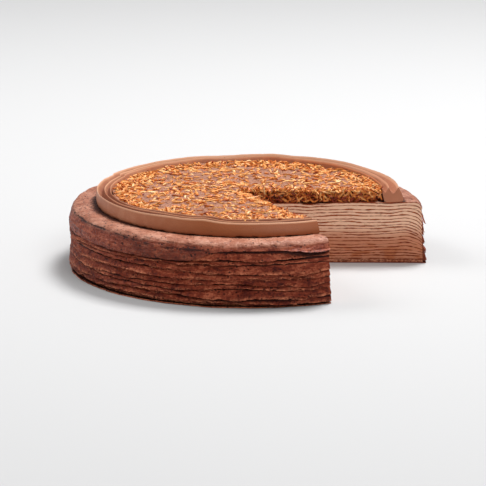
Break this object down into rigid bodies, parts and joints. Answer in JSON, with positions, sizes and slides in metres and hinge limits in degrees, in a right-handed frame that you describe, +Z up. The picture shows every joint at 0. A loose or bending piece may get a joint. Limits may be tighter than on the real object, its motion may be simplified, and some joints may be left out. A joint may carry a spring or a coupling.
{
  "type": "crepe cake",
  "caption": "Round cake of thin stacked crepes and cream with a piped ring and crunchy topping, one slice cut out.",
  "frame": {"origin": "centre of the round underside, on the surface the cake stands on", "axes": "+Z up through the layers; the notch of the missing slice lies between +X and about 61 degrees towards -Y"},
  "size_m": [0.231, 0.231, 0.0516],
  "materials": {
    "crepe": "soft browned chocolate pancake, slightly moist",
    "cream": "smooth cocoa cream, cut with a knife",
    "piped_cream": "smooth piped chocolate cream, satin",
    "crunch": "baked golden shreds, dry with a slight shine"
  },
  "bodies": {
    "root": {"crepe_01": "crepe", "crepe_02": "crepe", "crepe_03": "crepe", "crepe_04": "crepe", "crepe_05": "crepe", "crepe_06": "crepe", "crepe_07": "crepe", "crepe_08": "crepe", "crepe_09": "crepe", "crepe_10": "crepe", "crepe_11": "crepe", "crepe_12": "crepe", "crepe_13": "crepe", "crepe_14": "crepe", "crepe_15": "crepe", "crepe_16": "crepe", "crepe_17": "crepe", "crepe_18": "crepe", "crepe_19": "crepe", "crepe_20": "crepe", "cream_01": "cream", "cream_02": "cream", "cream_03": "cream", "cream_04": "cream", "cream_05": "cream", "cream_06": "cream", "cream_07": "cream", "cream_08": "cream", "cream_09": "cream", "cream_10": "cream", "cream_11": "cream", "cream_12": "cream", "cream_13": "cream", "cream_14": "cream", "cream_15": "cream", "cream_16": "cream", "cream_17": "cream", "cream_18": "cream", "cream_19": "cream", "piped_ring": "piped_cream", "crunch_heap": "crunch"}
  },
  "joints": []
}
